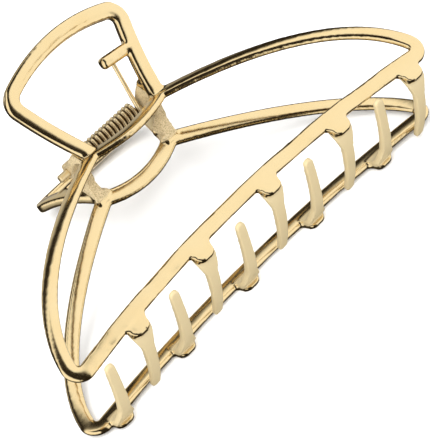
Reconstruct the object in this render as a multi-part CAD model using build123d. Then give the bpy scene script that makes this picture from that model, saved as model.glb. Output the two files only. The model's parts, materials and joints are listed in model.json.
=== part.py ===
from build123d import *
import os
from math import asin, atan2, cos, degrees, hypot, radians, sin, tan

# Claw clip: two identical cast jaws, the pin they swing on, and the torsion spring that shuts them.
# Millimetres. In the working axes X runs along the clip, Y from the front jaw (-) to the rear
# jaw (+), and Z from the teeth up to the finger loops. At the end the clip is laid on its rear jaw,
# with +Z up, the teeth towards -Y, and its origin under the middle of its bounding box.

# Rim of a jaw.
TOOTH_PITCH = 20.4          # from one tooth to the next along a jaw
RIM_LENGTH = 104.4          # between the ends of its middle line, before they are rounded
RIM_WIDTH = 3.4             # across the outer face
RIM_THICKNESS = 1.7         # from outer face to inner face
BAR_SPREAD = 12.5           # hinge plane to the bar's outer face, at mid-length
BAR_ARCH = 4.05             # how far the bar's ends drop below its middle
BAR_BOW = 0.9               # how far the bar's ends lie inside its middle
JOIN_X = 10.2               # middle of a handle leg where it meets the rim
JOIN_HEIGHT = 36.1          # that point above the bar's lower edge
JOIN_SPREAD = 8.8           # hinge plane to the outer face at that point
SADDLE_DROP = 2.3           # dip of the rim between the handle's legs
RIM_BULGE = 2.7             # outward crown of the rim between bar and handle
RIM_SIDE = ((-2.2, 11.5), (-18.0, 25.2))        # control points of its sides: X from the bar's end, and Z
RIM_TURN = 3.0              # half the angle that the rim's wall is revolved through, degrees
BEND_RADIUS = 2.2           # of the rim's middle line at its corners
EDGE_ROUND = 0.6            # rounding of the rim's and handle's long edges

# Handle of a jaw, measured in its own leaning plane.
HANDLE_LEAN = 34.3          # mean lean away from the hinge plane, degrees
HANDLE_RISE = 19.1          # length of the legs
HANDLE_BOW = 1.6            # how far the middle of the legs curves in behind that lean
HANDLE_X = 16.5             # middle of a leg at the wide end
HANDLE_CROWN = 3.8          # bow of the wide end
HANDLE_WIDTH = 3.5
HANDLE_THICKNESS = 2.6
HANDLE_BEND_RADIUS = 3.2
HANDLE_FOOT = 1.2           # how deep its legs run into the rim
PEG_RADIUS = 1.5
PEG_LENGTH = 6.7
PEG_RISE = 11.3             # root of the peg up the leg
PEG_TILT = 7.0              # upward slope of the peg, degrees

# Teeth.
TEETH = 5
TOOTH_WIDTH = 2.4
TOOTH_THICKNESS = 1.6
TOOTH_ROOT_WIDTH = 5.0
TOOTH_REACH = 22.6          # bar's outer face to the tooth's tip
TOOTH_ROOT_RISE = 1.2       # start of its middle line above the bar's lower edge
TOOTH_TIP_DROP = 1.35       # tip below that edge
TOOTH_ROOT_PULL = 3.6       # how far its middle line heads straight down from the root
TOOTH_TIP_PULL = (13.0, 2.4)    # where it heads for the tip from: inwards, and down
TOOTH_TAPER = 0.25          # loss of half thickness from root to tip
TOOTH_TIP_FLARE = 0.25      # gain of half width from the tip back to the shoulder
TOOTH_SHOULDER = (3.4, 7.6)     # where the root starts and stops narrowing, from the bar's outer face
TOOTH_SHOULDER_RADIUS = 3.0

# Hinge.
HINGE_HEIGHT = 42.3         # pin's axis above the bar's lower edge
PIN_RADIUS = 0.75
PIN_HEAD_RADIUS = 0.9
PIN_HEAD_LENGTH = 2.5
PIN_HEAD_CHAMFER = 0.2
PIN_END_FLOAT = 0.02        # between an outer ear and the pin's head
EAR_BORE_RADIUS = 0.8       # leaves the pin 0.05 of running clearance
EAR_EYE_RADIUS = 1.9
EAR_EYE_LIFT = 0.15         # eye's centre above the bore's
EAR_SOLE = (-1.1, -0.1)     # foot of its lower edge: Y of both ends from the rim's inner face
EAR_KNEE = (-5.1, -3.05)    # bend in its lower edge: Y, and Z above the pin
EAR_CHIN = (-0.9, -1.7)     # end of its lower edge, on the eye
EAR_HEEL = (-8.9, 0.6)      # foot of its upper edge: Y, and Z above the join
EAR_FLARE = 0.6             # its sides stop flaring this far beyond the knee
INNER_EAR = (9.1, 11.15)    # nearest and furthest |x| of an inner ear at the pin
OUTER_EAR = (11.4, 13.4)
INNER_EAR_ROOT = (9.5, 12.3)
OUTER_EAR_ROOT = (9.0, 12.3)
INNER_EAR_TOP = ((-0.7, 1.75), (-8.6, 0.0))     # its upper edge, from eye to handle: Y, and Z above the pin
OUTER_EAR_TOP = ((-2.0, 0.1), (-8.6, -2.4))

# Spring.
WIRE = 1.0                  # wire diameter
COIL_RADIUS = 1.85          # to the middle of the wire
COIL_HALF = 7.7             # |x| where the wire leaves the coil
COIL_TURNS = 13             # whole turns, besides the part turn between the two legs
COIL_LIFT = 0.4             # the loose coil rides this far above the pin's axis
SPRING_GAP = 0.05           # left between wire and peg
LEG_REACH_X = 1.0           # |x| of a leg's touch on its peg, beyond the coil's end
LEG_OVERHANG = 0.2          # leg past the touch

END_X = RIM_LENGTH / 2
ARCH_RADIUS = (END_X**2 + BAR_ARCH**2) / (2 * BAR_ARCH)
BOW_RADIUS = (END_X**2 + BAR_BOW**2) / (2 * BAR_BOW)
# Arc of the rim's outer face in side view.
WALL_SLOPE = atan2(BAR_SPREAD - JOIN_SPREAD, JOIN_HEIGHT)
WALL_RADIUS = hypot(JOIN_HEIGHT, BAR_SPREAD - JOIN_SPREAD) ** 2 / (8 * RIM_BULGE) + RIM_BULGE / 2
WALL_Y = -(BAR_SPREAD + JOIN_SPREAD) / 2 + (WALL_RADIUS - RIM_BULGE) * cos(WALL_SLOPE)
WALL_Z = JOIN_HEIGHT / 2 - (WALL_RADIUS - RIM_BULGE) * sin(WALL_SLOPE)
FIRST_TOOTH_X = (TEETH / 2 - 0.25) * TOOTH_PITCH
LEG_SLOPE = (HANDLE_X - JOIN_X) / HANDLE_RISE
HANDLE_CURVE = HANDLE_RISE**2 / (8 * HANDLE_BOW) + HANDLE_BOW / 2
OUT_OF_HANDLE = (0, -cos(radians(HANDLE_LEAN)), -sin(radians(HANDLE_LEAN)))
# Plane through both ends of the handle's legs: local Y climbs the loop, local Z points outwards.
HANDLE_PLANE = Plane(origin=(0, -JOIN_SPREAD, JOIN_HEIGHT), x_dir=(1, 0, 0), z_dir=OUT_OF_HANDLE)
ACROSS = Vector(0, 0, 1)    # normal of a flat outline


def bar_drop(x):
    """Height of the arched bar's lower edge at x. It is 0 at mid-length."""
    return (ARCH_RADIUS**2 - x**2) ** 0.5 - ARCH_RADIUS


def rim_face(x, z):
    """Y of the rim's outer face, which is bowed along X and arched along Z."""
    bow = BOW_RADIUS - (BOW_RADIUS**2 - x**2) ** 0.5
    return WALL_Y - (WALL_RADIUS**2 - (z - WALL_Z) ** 2) ** 0.5 + bow


def parallel(edge, region, gap):
    """The edge moved sideways by gap, out of the region that it bounds where gap is positive."""
    if region.is_inside(edge @ 0.5 + (edge % 0.5).cross(ACROSS) * 0.01):
        gap = -gap
    spots = [edge @ (i / 8) + (edge % (i / 8)).cross(ACROSS) * gap for i in range(9)]
    if edge.geom_type == GeomType.CIRCLE:
        return ThreePointArc(spots[0], spots[4], spots[8])
    if edge.geom_type == GeomType.LINE:
        return Line(spots[0], spots[8])
    return Spline(spots, tangents=(edge % 0, edge % 1))


def band(region, width):
    """Ring of constant width along the region's outline."""
    outer = make_face([parallel(edge, region, width / 2) for edge in region.edges()])
    inner = make_face([parallel(edge, region, -width / 2) for edge in region.edges()])
    return outer - inner


def curved_wall():
    """The thin wall that the rim is cut from: an arc in side view, bowed gently along the clip."""
    ring = Pos(WALL_Y, WALL_Z) * (Circle(WALL_RADIUS) - Circle(WALL_RADIUS - RIM_THICKNESS))
    front_half = Pos(WALL_Y - WALL_RADIUS, WALL_Z) * Rectangle(1.6 * WALL_RADIUS, 1.7 * WALL_RADIUS)
    profile = Plane.YZ * (ring & front_half)
    pivot = Axis((0, BOW_RADIUS - BAR_SPREAD, 0), (0, 0, 1))
    return revolve(profile.rotate(pivot, -RIM_TURN), axis=pivot, revolution_arc=2 * RIM_TURN)


def rim():
    """Flat-bottomed D of constant width, with a dip between the handle's legs."""
    end = (END_X, bar_drop(END_X) + RIM_WIDTH / 2)
    join = (JOIN_X, JOIN_HEIGHT)
    bar = ThreePointArc((-end[0], end[1]), (0, RIM_WIDTH / 2), end)
    side = Bezier(end, *[(END_X + along, height) for along, height in RIM_SIDE], join)
    dip = ThreePointArc(join, (0, JOIN_HEIGHT - SADDLE_DROP), (-JOIN_X, JOIN_HEIGHT))
    middle = make_face([bar, side, dip, mirror(side, about=Plane.YZ)])
    middle = fillet(middle.vertices(), BEND_RADIUS)
    blank = extrude(Plane.XZ * band(middle, RIM_WIDTH), 30, both=True)
    solid = blank & curved_wall()
    return fillet(solid.edges(), EDGE_ROUND)


def handle_dip(rise):
    """How far the handle's outer face lies inside the plane through the ends of its legs."""
    return (HANDLE_CURVE**2 - (rise - HANDLE_RISE / 2) ** 2) ** 0.5 - HANDLE_CURVE + HANDLE_BOW


def handle():
    """Finger loop that curves outwards. Its two legs end inside the rim."""
    foot_drop = 8
    foot = (JOIN_X - foot_drop * LEG_SLOPE, -foot_drop)
    other_foot = (-foot[0], foot[1])
    corner = (HANDLE_X, HANDLE_RISE)
    other_corner = (-HANDLE_X, HANDLE_RISE)
    crown = ThreePointArc(corner, (0, HANDLE_RISE + HANDLE_CROWN), other_corner)
    legs = [Line(foot, corner), Line(other_corner, other_foot)]
    middle = make_face([Line(other_foot, foot), *legs, crown])
    middle = fillet(middle.vertices(), HANDLE_BEND_RADIUS)
    below = Pos(0, -HANDLE_FOOT) * Rectangle(60, 30, align=(Align.CENTER, Align.MAX))
    blank = extrude(band(middle, HANDLE_WIDTH) - below, 10, both=True)
    ring = Circle(HANDLE_CURVE + HANDLE_THICKNESS) - Circle(HANDLE_CURVE)
    wall = extrude(Plane.YZ * Pos(HANDLE_RISE / 2, HANDLE_CURVE - HANDLE_BOW) * ring, 30, both=True)
    solid = HANDLE_PLANE * (blank & wall)
    return fillet(solid.edges(), EDGE_ROUND)


def peg():
    """Round peg inside the handle's right leg, which one leg of the spring presses on."""
    length = PEG_LENGTH + HANDLE_WIDTH / 2
    rod = Cylinder(PEG_RADIUS, length, align=(Align.CENTER, Align.CENTER, Align.MIN))
    rod = fillet(rod.edges().sort_by(Axis.Z)[-1], PEG_RADIUS / 2)
    seat = Pos(JOIN_X + LEG_SLOPE * PEG_RISE, PEG_RISE, -handle_dip(PEG_RISE) - HANDLE_THICKNESS / 2)
    return HANDLE_PLANE * seat * Rot(0, 0, -PEG_TILT) * Rot(0, -90, 0) * rod


def tooth(x):
    """Curved tooth: it drops from the bar at x, turns inwards, and narrows to a rounded tip."""
    edge_z = bar_drop(x)
    root = Vector(rim_face(x, edge_z) + RIM_THICKNESS / 2, edge_z + TOOTH_ROOT_RISE)
    tip = Vector(rim_face(x, 0) + TOOTH_REACH, edge_z - TOOTH_TIP_DROP)
    path = Bezier(root, root - (0, TOOTH_ROOT_PULL), tip - TOOTH_TIP_PULL, tip)
    steps = [i / 8 for i in range(9)]
    halves = [(path % t).cross(ACROSS) * (TOOTH_THICKNESS / 2 - TOOTH_TAPER * t) for t in steps]
    upper = Spline([path @ t - half for t, half in zip(steps, halves)])
    lower = Spline([path @ t + half for t, half in zip(steps, halves)])
    side_view = make_face([upper, lower, Line(upper @ 0, lower @ 0), Line(upper @ 1, lower @ 1)])
    curl = extrude(Plane.YZ * side_view, TOOTH_ROOT_WIDTH, both=True)
    back = root.X - RIM_THICKNESS
    root_half = TOOTH_ROOT_WIDTH / 2
    tip_half = TOOTH_WIDTH / 2 - 0.1
    upper_y, lower_y = [back + reach for reach in TOOTH_SHOULDER]
    right = [(root_half, back), (root_half, upper_y), (tip_half + TOOTH_TIP_FLARE, lower_y), (tip_half, tip.X)]
    plan = make_face(Polyline(*right, *[(-px, py) for px, py in reversed(right)], close=True))
    shoulders = plan.vertices().filter_by_position(Axis.Y, upper_y - 0.1, lower_y + 0.1)
    plan = fillet(shoulders, TOOTH_SHOULDER_RADIUS)
    plan = fillet(plan.vertices().group_by(Axis.Y)[-1], tip_half - 0.05)
    return Pos(x, 0, 0) * (curl & extrude(plan, 20, both=True))


def ear(width, root_width, top):
    """Lug from the rim's shoulder to the pin. Its nearest and furthest |x| change towards its root."""
    inner_face = -JOIN_SPREAD + RIM_THICKNESS
    lower_edge = JOIN_HEIGHT - RIM_WIDTH / 2
    sole, toe = [(inner_face + along, lower_edge + EDGE_ROUND) for along in EAR_SOLE]
    knee, chin, brow, shoulder = [(y, HINGE_HEIGHT + rise) for y, rise in (EAR_KNEE, EAR_CHIN, *top)]
    heel = (EAR_HEEL[0], JOIN_HEIGHT + EAR_HEEL[1])
    eye = Pos(0, HINGE_HEIGHT + EAR_EYE_LIFT) * Circle(EAR_EYE_RADIUS)
    side_view = make_face(Polyline(sole, toe, knee, chin, brow, shoulder, heel, close=True)) + eye
    near, far = width
    root_near, root_far = root_width
    outer, inner = -12, 3                       # beyond both ends of the side view
    bend = knee[0] + EAR_FLARE
    back = [(root_near, outer), (root_near, inner_face), (near, bend), (near, inner)]
    front = [(far, inner), (far, bend), (root_far, inner_face), (root_far, outer)]
    plan = make_face(Polyline(*back, *front, close=True))
    return extrude(Plane.YZ * side_view, 30, both=True) & extrude(plan, 60)


def jaw():
    """The front jaw, cast in one piece: rim, handle, peg, teeth and two bored ears."""
    casting = rim() + handle() + peg()
    for number in range(TEETH):
        casting += tooth(FIRST_TOOTH_X - number * TOOTH_PITCH)
    casting += ear(INNER_EAR, INNER_EAR_ROOT, INNER_EAR_TOP)
    casting += mirror(ear(OUTER_EAR, OUTER_EAR_ROOT, OUTER_EAR_TOP), about=Plane.YZ)
    return casting - Pos(0, 0, HINGE_HEIGHT) * Rot(0, 90, 0) * Cylinder(EAR_BORE_RADIUS, 40)


def hinge_pin():
    """Pin with a slightly wider head peened on each end, against the outer ears."""
    half = OUTER_EAR[1] + PIN_END_FLOAT
    head = Pos(0, 0, half + PIN_HEAD_LENGTH / 2) * Cylinder(PIN_HEAD_RADIUS, PIN_HEAD_LENGTH)
    head = chamfer(head.edges().sort_by(Axis.Z)[-1], PIN_HEAD_CHAMFER)
    pin = Cylinder(PIN_RADIUS, 2 * half) + head + mirror(head, about=Plane.XY)
    return Pos(0, 0, HINGE_HEIGHT) * Rot(0, 90, 0) * pin


def torsion_spring():
    """Open coil round the pin. Its first leg presses on the rear peg and its last on the front."""
    coil_z = HINGE_HEIGHT + COIL_LIFT
    touch_x = COIL_HALF + LEG_REACH_X
    touch_rise = PEG_RISE + (JOIN_X + LEG_SLOPE * PEG_RISE - touch_x) * tan(radians(PEG_TILT))
    touch_depth = handle_dip(PEG_RISE) + HANDLE_THICKNESS / 2
    touch = HANDLE_PLANE.from_local_coords(Vector(0, touch_rise, -touch_depth))
    reach = hypot(touch.Y, touch.Z - coil_z)
    offset_sum = COIL_RADIUS + PEG_RADIUS + WIRE / 2 + SPRING_GAP
    heading = degrees(atan2(touch.Z - coil_z, touch.Y) - asin(offset_sum / reach))
    leg_length = (reach**2 - offset_sum**2) ** 0.5 + LEG_OVERHANG
    start = 90 - heading
    turns = COIL_TURNS + (start * 2 + 180) / 360
    coil = Helix(2 * COIL_HALF / turns, 2 * COIL_HALF, COIL_RADIUS, lefthand=True)
    first_leg = Line(coil @ 0 - (coil % 0) * leg_length, coil @ 0)
    last_leg = Line(coil @ 1, coil @ 1 + (coil % 1) * leg_length)
    path = Wire([first_leg, *coil.edges(), last_leg])
    solid = sweep(Plane(origin=path @ 0, z_dir=path % 0) * Circle(WIRE / 2), path=path)
    start_dir = (0, cos(radians(start)), sin(radians(start)))
    return Plane(origin=(-COIL_HALF, 0, coil_z), x_dir=start_dir, z_dir=(1, 0, 0)) * solid


def resting_angle(solid):
    """Turn about X that lays the working axes' rear side down on the rim and the handle's end."""
    low, high = -90.0, -60.0
    rim_part = split(solid, Plane.XY.offset(JOIN_HEIGHT - 8), keep=Keep.BOTTOM)
    handle_part = split(solid, Plane.XY.offset(JOIN_HEIGHT + 8), keep=Keep.TOP)
    for _ in range(24):
        angle = (low + high) / 2
        turn = Rot(angle, 0, 0)
        rim_low = (turn * rim_part).bounding_box().min.Z
        handle_low = (turn * handle_part).bounding_box().min.Z
        low, high = (angle, high) if handle_low < rim_low else (low, angle)
    return angle


def main():
    front = jaw()
    rear = Rot(0, 0, 180) * front
    nodes = {
        "front_jaw": front,
        "rear_jaw": rear,
        "hinge_pin": hinge_pin(),
        "torsion_spring": torsion_spring(),
    }
    turn = Rot(resting_angle(rear), 0, 0)
    box = Compound(children=[turn * front, turn * rear]).bounding_box()
    lay = Pos(-box.center().X, -box.center().Y, -box.min.Z) * turn
    os.makedirs("parts", exist_ok=True)
    for name, solid in nodes.items():
        export_step(lay * solid, f"parts/{name}.step")
    axis = lay * Pos(0, 0, HINGE_HEIGHT)
    print("hinge axis at", axis.position, "turn", turn.orientation.X)


if __name__ == "__main__":
    main()
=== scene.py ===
import json
import math

import bmesh
import bpy
import numpy as np
from mathutils import Matrix, Vector
from mathutils.kdtree import KDTree


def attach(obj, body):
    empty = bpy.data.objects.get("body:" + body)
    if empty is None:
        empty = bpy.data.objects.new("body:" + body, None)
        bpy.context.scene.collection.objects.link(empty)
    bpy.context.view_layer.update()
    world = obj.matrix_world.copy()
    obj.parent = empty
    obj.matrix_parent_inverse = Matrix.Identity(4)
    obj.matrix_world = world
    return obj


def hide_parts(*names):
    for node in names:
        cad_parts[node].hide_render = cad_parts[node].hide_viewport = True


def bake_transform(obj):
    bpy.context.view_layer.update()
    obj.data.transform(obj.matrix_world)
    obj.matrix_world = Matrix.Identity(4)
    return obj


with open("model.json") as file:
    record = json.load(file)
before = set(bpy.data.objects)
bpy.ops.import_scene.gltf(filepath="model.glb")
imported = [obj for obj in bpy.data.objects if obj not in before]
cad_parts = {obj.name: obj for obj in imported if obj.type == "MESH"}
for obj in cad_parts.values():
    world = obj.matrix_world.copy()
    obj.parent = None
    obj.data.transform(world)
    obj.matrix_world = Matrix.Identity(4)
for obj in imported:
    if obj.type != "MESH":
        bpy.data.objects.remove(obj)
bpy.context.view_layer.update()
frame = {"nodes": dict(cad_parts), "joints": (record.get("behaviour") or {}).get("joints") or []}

# Claw clip: pale gold plating, satin teeth, grainy hinge ears, and a coiled spring.
# Lengths are in millimetres up to the last step of each piece, which turns them into metres.
MM = 0.001

# The camera.
AIM = Vector((-1.0, -14.3, 10.2))      # what the middle of the picture shows
DISTANCE = 443.7
AZIMUTH = 29.64                        # of the line of sight from +Y towards +X, degrees
DESCENT = 43.74                        # of the line of sight below the horizon
ROLL = -22.12
LENS = 172.7
SENSOR = 36.0

# Shape of a jaw in its own axes: X along the clip, Y from outside to inside, Z from teeth to handle.
HINGE_HEIGHT = 42.3
BAR_ARCH_RADIUS = 338.4
BAR_BOW_RADIUS = 1514.0
WALL_RADIUS = 62.32                    # of the rim's outer face in side view
WALL_CENTRE = (48.66, 11.97)           # Y and Z of that arc's centre
RIM_THICKNESS = 1.7
JOIN_HEIGHT = 36.1                     # where the handle's legs meet the rim
JOIN_INNER_FACE = -7.1                 # Y of the rim's inner face where the ears stand on it
EAR_FOOT = 33.6                        # height of the ears' lowest point
EAR_X = 8.0                            # both ears are further out than this
BAR_ZONE = 8.0                         # the bar and the teeth are below this height
TOOTH_X = (45.9, 25.5, 5.1, -15.3, -35.7)

# Rounded web that each tooth hangs from: half its outline, as X from the tooth and Z from the bar's edge.
LOBE_HALF = [(3.4, 1.2), (2.9, 0.0), (2.4, -0.7), (2.25, -1.7), (1.7, -2.35), (0.9, -2.65)]
LOBE_THICKNESS = 1.3
LOBE_DEPTH = 0.04                      # of its outer face behind the rim's
LOBE_SINK = 0.25                       # more depth per mm above the bar's edge
LOBE_END = (2.7, 2.9)                  # below the bar's edge, where a tooth is satin all round

# Crown: how far the broad faces fall off towards their edges.
CROWN = 0.5
HANDLE_CROWN = 0.36
ROOT_CROWN = 0.08                      # by the roots of the teeth
INNER_CROWN = 0.25
CROWN_REACH = 1.75                     # half the width of the crowned faces
BROAD = 0.35                           # a broad face's normal has at least this much of Y

VOXEL = 0.24                           # of the jaws' remesh
ROUNDING = 9                           # smoothing passes before the crown
FINISHING = 7                          # and after it
FALL_BLUR = 9                          # averaging passes over the crown's fall
NORMAL_BLUR = 7                        # and over the directions that it goes in

COIL_LIFT = 0.4                        # of the coil above the hinge's axis

# Colours.
GOLD = ((0.90, 0.68, 0.34, 1), (0.96, 0.78, 0.46, 1))
SAND = ((0.46, 0.35, 0.17, 1), (0.82, 0.67, 0.42, 1))      # dark and light grains of the ears
SATIN = (0.58, 0.47, 0.27, 1)
WIRE_GOLD = ((0.90, 0.70, 0.38, 1), (0.98, 0.82, 0.52, 1))
PIN_GOLD = ((0.80, 0.62, 0.33, 1), (0.92, 0.76, 0.46, 1))
GAP_SHADE = (0.13, 0.07, 0.02, 1)      # painted shade between the coil's turns
PAPER = (0.92, 0.92, 0.915, 1)
PATCH = (0.8, 0.72, 0.6, 1)
SPILL = (0.02, 0.016, 0.011, 1)        # least light from any side

# Brightness of the studio along each axis of the direction looked in, as places and greys.
FLAG_X = [(-0.62, 1.0), (-0.48, 0.0), (0.12, 0.0), (0.21, 1.0)]
BACK_BOX_Y = [(0.22, 0.0), (0.38, 1.0)]
FLAG_Y = [(0.46, 1.0), (0.60, 0.0), (0.82, 0.0), (0.95, 0.5)]
FLOOR_SIDE_Z = [(-0.60, 0.04), (-0.36, 1.0)]
PATCH_EDGE = (0.93, 0.98)              # cosine of the angle from the line of sight, outside and inside
STUDIO_STRENGTH = 1.05

HINGE = Vector(frame["joints"][0]["pos_m"]) / MM


# ---------------------------------------------------------------- axes and mesh helpers

def mean_point(*nodes):
    """Mean of the nodes' vertices, in mm."""
    points = [v.co / MM for node in nodes for v in frame["nodes"][node].data.vertices]
    return sum(points, Vector()) / len(points)


def jaw_axes(outwards):
    """Matrix from the row's axes, in mm, to a jaw's own. outwards is +1 for the front jaw."""
    up = (HINGE - mean_point("front_jaw", "rear_jaw")).normalized()
    up.x = 0
    up.normalize()
    along = Vector((outwards, 0, 0))
    inwards = up.cross(along)
    turn = Matrix((along, inwards, up))
    return Matrix.Translation((0, 0, HINGE_HEIGHT)) @ turn.to_4x4() @ Matrix.Translation(-HINGE)


def vectors_of(mesh, attribute):
    """One row of X, Y and Z for each vertex."""
    flat = np.empty(len(mesh.vertices) * 3)
    mesh.vertices.foreach_get(attribute, flat)
    return flat.reshape(-1, 3)


def set_points(mesh, points):
    mesh.vertices.foreach_set("co", points.astype(np.float32).ravel())
    mesh.update()


def edges_of(mesh):
    flat = np.empty(len(mesh.edges) * 2, dtype=np.int64)
    mesh.edges.foreach_get("vertices", flat)
    return flat.reshape(-1, 2)


def neighbour_mean(values, edges):
    """Mean of the values, in columns, of the vertices that each vertex is joined to."""
    count = np.bincount(edges.ravel(), minlength=len(values))[:, None]
    total = np.zeros_like(values)
    for column in range(values.shape[1]):
        total[:, column] = (np.bincount(edges[:, 0], values[edges[:, 1], column], len(values))
                            + np.bincount(edges[:, 1], values[edges[:, 0], column], len(values)))
    return total / np.maximum(count, 1)


def smooth(points, edges, passes, weight):
    """Taubin smoothing: it rounds edges and junctions and keeps the volume."""
    for _ in range(passes):
        for factor in (0.5, -0.52):
            points = points + factor * weight * (neighbour_mean(points, edges) - points)
    return points


def blur(values, edges, passes):
    for _ in range(passes):
        values = (values + neighbour_mean(values, edges)) / 2
    return values


def step(value, start, end):
    """Smooth 0 to 1 as value goes from start to end, which may be the smaller."""
    t = np.clip((value - start) / (end - start), 0, 1)
    return t * t * (3 - 2 * t)


def new_object(name, mesh):
    piece = bpy.data.objects.new(name, mesh)
    bpy.context.scene.collection.objects.link(piece)
    return piece


def finish_mesh(mesh, material):
    mesh.polygons.foreach_set("use_smooth", [True] * len(mesh.polygons))
    mesh.update()
    mesh.materials.clear()
    mesh.materials.append(material)


def voxel_copy(node, extra, placing):
    """Closed, even mesh of a CAD node with extra closed shapes fused to it, in mm."""
    source = frame["nodes"][node].data.copy()
    source.transform(Matrix.Scale(1 / MM, 4))
    build = bmesh.new()
    build.from_mesh(source)
    for corners, faces in extra:
        made = [build.verts.new(placing @ Vector(corner)) for corner in corners]
        for face in faces:
            build.faces.new([made[i] for i in face])
    build.to_mesh(source)
    build.free()
    helper = new_object("voxel_helper", source)
    remesh = helper.modifiers.new("remesh", "REMESH")
    remesh.mode = "VOXEL"
    remesh.voxel_size = VOXEL
    bpy.context.view_layer.update()
    graph = bpy.context.evaluated_depsgraph_get()
    mesh = bpy.data.meshes.new_from_object(helper.evaluated_get(graph))
    bpy.data.objects.remove(helper)
    return mesh


# ---------------------------------------------------------------- the jaws

def bar_drop(x):
    """Height of the arched bar's lower edge."""
    return np.sqrt(BAR_ARCH_RADIUS**2 - x**2) - BAR_ARCH_RADIUS


def outer_face(x, z):
    """Y of the rim's bowed outer face."""
    side_view = WALL_CENTRE[0] - np.sqrt(WALL_RADIUS**2 - (z - WALL_CENTRE[1])**2)
    return side_view + x**2 / (2 * BAR_BOW_RADIUS)


def lobe(x):
    """Web at a tooth's root, flush with the bar's outer face, as corners and faces."""
    outline = LOBE_HALF + [(-across, rise) for across, rise in reversed(LOBE_HALF)]
    count = len(outline)
    corners = []
    for depth in (LOBE_DEPTH, LOBE_THICKNESS):
        for across, rise in outline:
            z = bar_drop(x) + rise
            sunk = LOBE_SINK * max(rise, 0)
            corners.append((x + across, outer_face(x + across, z) + depth + sunk, z))
    sides = [(i, (i + 1) % count, count + (i + 1) % count, count + i) for i in range(count)]
    return corners, [tuple(range(count))[::-1], tuple(range(count, 2 * count)), *sides]


def jaw_masks(points):
    """Where a jaw's teeth and ears are, from 0 to 1, at points in its own axes."""
    x, y, z = points.T
    below = bar_drop(x) - z
    low = z < BAR_ZONE
    behind = y - outer_face(x, np.where(low, z, 0))
    limit = np.where(below > 0, LOBE_THICKNESS, RIM_THICKNESS + 0.3)
    teeth = np.maximum(step(behind, limit - 0.1, limit + 0.3) * low, step(below, *LOBE_END))
    ears = step(y, JOIN_INNER_FACE + 0.1, JOIN_INNER_FACE + 0.5) * (z > EAR_FOOT) * (np.abs(x) > EAR_X)
    return teeth, ears


def crown_faces(points, normals, edges, held):
    """Let the broad faces fall off towards their edges, so that they mirror in bands."""
    outwards = -normals[:, 1]
    broad = np.abs(outwards) >= BROAD
    tree = KDTree(len(points))
    for i in np.flatnonzero(~broad):
        tree.insert(points[i], i)
    tree.balance()
    depth = CROWN + (HANDLE_CROWN - CROWN) * step(points[:, 2], JOIN_HEIGHT, JOIN_HEIGHT + 4)
    to_root = np.min(np.abs(points[:, :1] - np.array(TOOTH_X)), axis=1)
    near_root = step(to_root, 8.5, 4.0) * step(points[:, 2], 5, 2)
    depth += (ROOT_CROWN - depth) * near_root
    depth = np.where(outwards > 0, depth, INNER_CROWN) * (1 - held)
    fall = np.zeros((len(points), 1))
    for i in np.flatnonzero(broad):
        fall[i] = depth[i] * (1 - min(tree.find(points[i])[2] / CROWN_REACH, 1)) ** 2
    return points - blur(normals, edges, NORMAL_BLUR) * blur(fall, edges, FALL_BLUR)


def make_jaw(node, body, outwards, material):
    placing = jaw_axes(outwards)
    mesh = voxel_copy(node, [lobe(x) for x in TOOTH_X], placing.inverted())
    axes = np.array(placing)
    edges = edges_of(mesh)
    own = vectors_of(mesh, "co") @ axes[:3, :3].T + axes[:3, 3]
    teeth, ears = jaw_masks(own)
    own = smooth(own, edges, ROUNDING, 1 - 0.7 * ears[:, None])
    set_points(mesh, own)
    own = crown_faces(own, vectors_of(mesh, "normal"), edges, ears)
    own = smooth(own, edges, FINISHING, 1 - 0.8 * ears[:, None])
    back = np.linalg.inv(axes)
    set_points(mesh, (own @ back[:3, :3].T + back[:3, 3]) * MM)
    for name, mask in (("teeth", teeth), ("ears", ears)):
        layer = mesh.attributes.new(name, "FLOAT", "POINT")
        layer.data.foreach_set("value", mask.astype(np.float32))
    finish_mesh(mesh, material)
    piece = new_object(node + "_casting", mesh)
    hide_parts(node)
    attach(piece, body)


# ---------------------------------------------------------------- node helpers

def material_nodes(name):
    material = bpy.data.materials.new(name)
    material.use_nodes = True
    tree = material.node_tree
    return material, tree, tree.nodes["Principled BSDF"]


def add_node(tree, kind, inputs=None, **settings):
    """New node with its settings, and with each input linked to a socket or set to a value."""
    node = tree.nodes.new(kind)
    for key, value in settings.items():
        setattr(node, key, value)
    for key, value in (inputs or {}).items():
        if isinstance(value, bpy.types.NodeSocket):
            tree.links.new(value, node.inputs[key])
        else:
            node.inputs[key].default_value = value
    return node


def mixed(tree, factor, a, b, mode="MIX"):
    """Colour a mixed with colour b."""
    inputs = {"Factor": factor, "A": a, "B": b}
    return add_node(tree, "ShaderNodeMix", inputs, data_type="RGBA", blend_type=mode).outputs["Result"]


def scaled(tree, value, factor, offset):
    """value * factor + offset."""
    inputs = {0: value, 1: factor, 2: offset}
    return add_node(tree, "ShaderNodeMath", inputs, operation="MULTIPLY_ADD").outputs["Value"]


def ranged(tree, value, source=(0, 1), target=(0, 1)):
    """value taken from the source range to the target range."""
    inputs = {"Value": value, "From Min": source[0], "From Max": source[1],
              "To Min": target[0], "To Max": target[1]}
    return add_node(tree, "ShaderNodeMapRange", inputs).outputs["Result"]


def ramp(tree, factor, stops):
    """Colour ramp with stops of a place and a colour."""
    node = add_node(tree, "ShaderNodeValToRGB", {"Fac": factor})
    elements = node.color_ramp.elements
    while len(elements) < len(stops):
        elements.new(0.5)
    for element, (place, colour) in zip(elements, stops):
        element.position = place
        element.color = colour
    return node.outputs["Color"]


def vector_math(tree, operation, *vectors):
    return add_node(tree, "ShaderNodeVectorMath", dict(enumerate(vectors)), operation=operation).outputs


def noise(tree, place, scale, detail):
    inputs = {"Vector": place, "Scale": scale, "Detail": detail}
    return add_node(tree, "ShaderNodeTexNoise", inputs).outputs["Fac"]


# ---------------------------------------------------------------- materials

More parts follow.
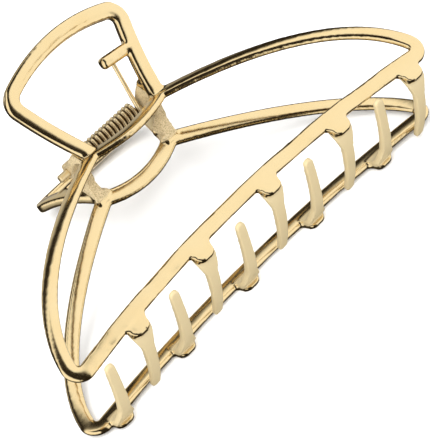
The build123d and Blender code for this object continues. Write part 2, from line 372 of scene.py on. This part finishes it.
def gold_casting():
    """Mirror-like plating with faint clouds, satin teeth and sandy ears."""
    material, tree, shader = material_nodes("gold_casting")
    place = add_node(tree, "ShaderNodeTexCoord").outputs["Object"]
    teeth = add_node(tree, "ShaderNodeAttribute", attribute_name="teeth").outputs["Fac"]
    ears = add_node(tree, "ShaderNodeAttribute", attribute_name="ears").outputs["Fac"]
    cloud = noise(tree, place, 160.0, 4.0)
    speckle = noise(tree, place, 4200.0, 2.0)
    grain = noise(tree, place, 3500.0, 3.0)

    sand = ramp(tree, speckle, [(0.32, SAND[0]), (0.58, SAND[1])])
    colour = mixed(tree, ears, mixed(tree, cloud, *GOLD), sand)
    colour = mixed(tree, teeth, colour, SATIN)
    tree.links.new(colour, shader.inputs["Base Color"])
    metallic = scaled(tree, ears, -0.45, scaled(tree, teeth, -0.85, 1.0))
    tree.links.new(metallic, shader.inputs["Metallic"])
    roughness = ranged(tree, cloud, target=(0.10, 0.20))
    roughness = scaled(tree, ears, 0.36, scaled(tree, teeth, 0.24, roughness))
    tree.links.new(roughness, shader.inputs["Roughness"])
    inputs = {"Height": grain, "Strength": scaled(tree, ears, 0.25, 0.03), "Distance": 0.1 * MM}
    bump = add_node(tree, "ShaderNodeBump", inputs)
    tree.links.new(bump.outputs["Normal"], shader.inputs["Normal"])
    return material


def gold_wire(name, colours, roughness, full_shade_radius, no_shade_radius):
    """Plated wire with painted shade, dark brown, in the gaps between turns, which lie nearer to the
    coil's axis.
    """
    material, tree, shader = material_nodes(name)
    place = add_node(tree, "ShaderNodeTexCoord").outputs["Object"]
    cloud = noise(tree, place, 900.0, 3.0)
    axis = (0, HINGE.y * MM, (HINGE.z + COIL_LIFT) * MM)
    away = vector_math(tree, "SUBTRACT", place, axis)["Vector"]
    side_on = vector_math(tree, "MULTIPLY", away, (0, 1, 1))["Vector"]
    radius = vector_math(tree, "LENGTH", side_on)["Value"]
    # Painted shade: full at the first radius from the coil's axis, gone at the second.
    out_of_shade = ranged(tree, radius, source=(full_shade_radius * MM, no_shade_radius * MM))
    colour = mixed(tree, out_of_shade, GAP_SHADE, mixed(tree, cloud, *colours))
    tree.links.new(colour, shader.inputs["Base Color"])
    shader.inputs["Metallic"].default_value = 0.8
    rough = ranged(tree, cloud, target=(roughness, roughness + 0.12))
    tree.links.new(rough, shader.inputs["Roughness"])
    return material


# ---------------------------------------------------------------- pin and spring

def make_spring(material):
    mesh = frame["nodes"]["torsion_spring"].data.copy()
    finish_mesh(mesh, material)
    piece = new_object("torsion_spring_wire", mesh)
    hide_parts("torsion_spring")
    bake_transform(piece)


def dress_pin(material):
    pin = frame["nodes"]["hinge_pin"]
    pin.data.materials.clear()
    pin.data.materials.append(material)


# ---------------------------------------------------------------- studio

def make_floor():
    mesh = bpy.data.meshes.new("floor")
    half = 3.0
    corners = [(-half, -half, 0), (half, -half, 0), (half, half, 0), (-half, half, 0)]
    mesh.from_pydata(corners, [], [(0, 1, 2, 3)])
    floor = new_object("floor", mesh)
    material, _, shader = material_nodes("floor_paper")
    shader.inputs["Base Color"].default_value = PAPER
    shader.inputs["Roughness"].default_value = 0.9
    shader.inputs["Specular IOR Level"].default_value = 0.1
    mesh.materials.append(material)
    floor.visible_glossy = False


def line_of_sight():
    turn, fall = math.radians(AZIMUTH), math.radians(DESCENT)
    return Vector((math.sin(turn) * math.cos(fall), math.cos(turn) * math.cos(fall), -math.sin(fall)))


def make_world():
    """Soft boxes with black flags between them, a dark floor side, and a pale patch behind the clip."""
    world = bpy.data.worlds.new("studio")
    bpy.context.scene.world = world
    world.use_nodes = True
    tree = world.node_tree
    way = add_node(tree, "ShaderNodeTexCoord").outputs["Generated"]
    part = add_node(tree, "ShaderNodeSeparateXYZ", {"Vector": way}).outputs

    def greys(axis, stops):
        factor = ranged(tree, part[axis], source=(-1, 1))
        return ramp(tree, factor, [((place + 1) / 2, (grey, grey, grey, 1)) for place, grey in stops])

    boxes = mixed(tree, 1.0, greys("X", FLAG_X), greys("Y", BACK_BOX_Y), "LIGHTEN")
    boxes = mixed(tree, 1.0, boxes, greys("Y", FLAG_Y), "MULTIPLY")
    boxes = mixed(tree, 1.0, boxes, greys("Z", FLOOR_SIDE_Z), "MULTIPLY")
    facing = vector_math(tree, "DOT_PRODUCT", way, line_of_sight())["Value"]
    patch = ranged(tree, facing, source=PATCH_EDGE)
    light = mixed(tree, 1.0, mixed(tree, patch, boxes, PATCH), SPILL, "ADD")
    background = tree.nodes["Background"]
    tree.links.new(light, background.inputs["Color"])
    background.inputs["Strength"].default_value = STUDIO_STRENGTH


def area_light(name, place, size, power):
    light = bpy.data.lights.new(name, "AREA")
    light.shape = "RECTANGLE"
    light.size, light.size_y = size
    light.energy = power
    lamp = bpy.data.objects.new(name, light)
    bpy.context.scene.collection.objects.link(lamp)
    lamp.location = place
    lamp.visible_glossy = False
    lamp.rotation_euler = (-Vector(place)).to_track_quat("-Z", "Y").to_euler()


def make_camera():
    sight = line_of_sight()
    level = sight.cross(Vector((0, 0, 1))).normalized()
    right = Matrix.Rotation(math.radians(-ROLL), 3, sight) @ level
    up = right.cross(sight)
    camera = bpy.data.cameras.new("camera")
    camera.lens = LENS
    camera.sensor_width = SENSOR
    camera.clip_start, camera.clip_end = 0.01, 20
    holder = bpy.data.objects.new("camera", camera)
    bpy.context.scene.collection.objects.link(holder)
    rotation = Matrix((right, up, -sight)).transposed().to_4x4()
    holder.matrix_world = Matrix.Translation((AIM - sight * DISTANCE) * MM) @ rotation
    bpy.context.scene.camera = holder


casting = gold_casting()
make_jaw("front_jaw", "front", 1, casting)
make_jaw("rear_jaw", "rear", -1, casting)
# Painted shade between the coil's turns, and on the pin where it lies near the coil's axis.
make_spring(gold_wire("gold_wire", WIRE_GOLD, 0.14, 1.7, 2.0))
dress_pin(gold_wire("gold_pin", PIN_GOLD, 0.25, 0.0, 0.5))
make_floor()
make_world()
area_light("key", (-0.4, -0.3, 0.9), (1.3, 1.3), 24)
make_camera()
bpy.context.scene.view_settings.view_transform = "Standard"
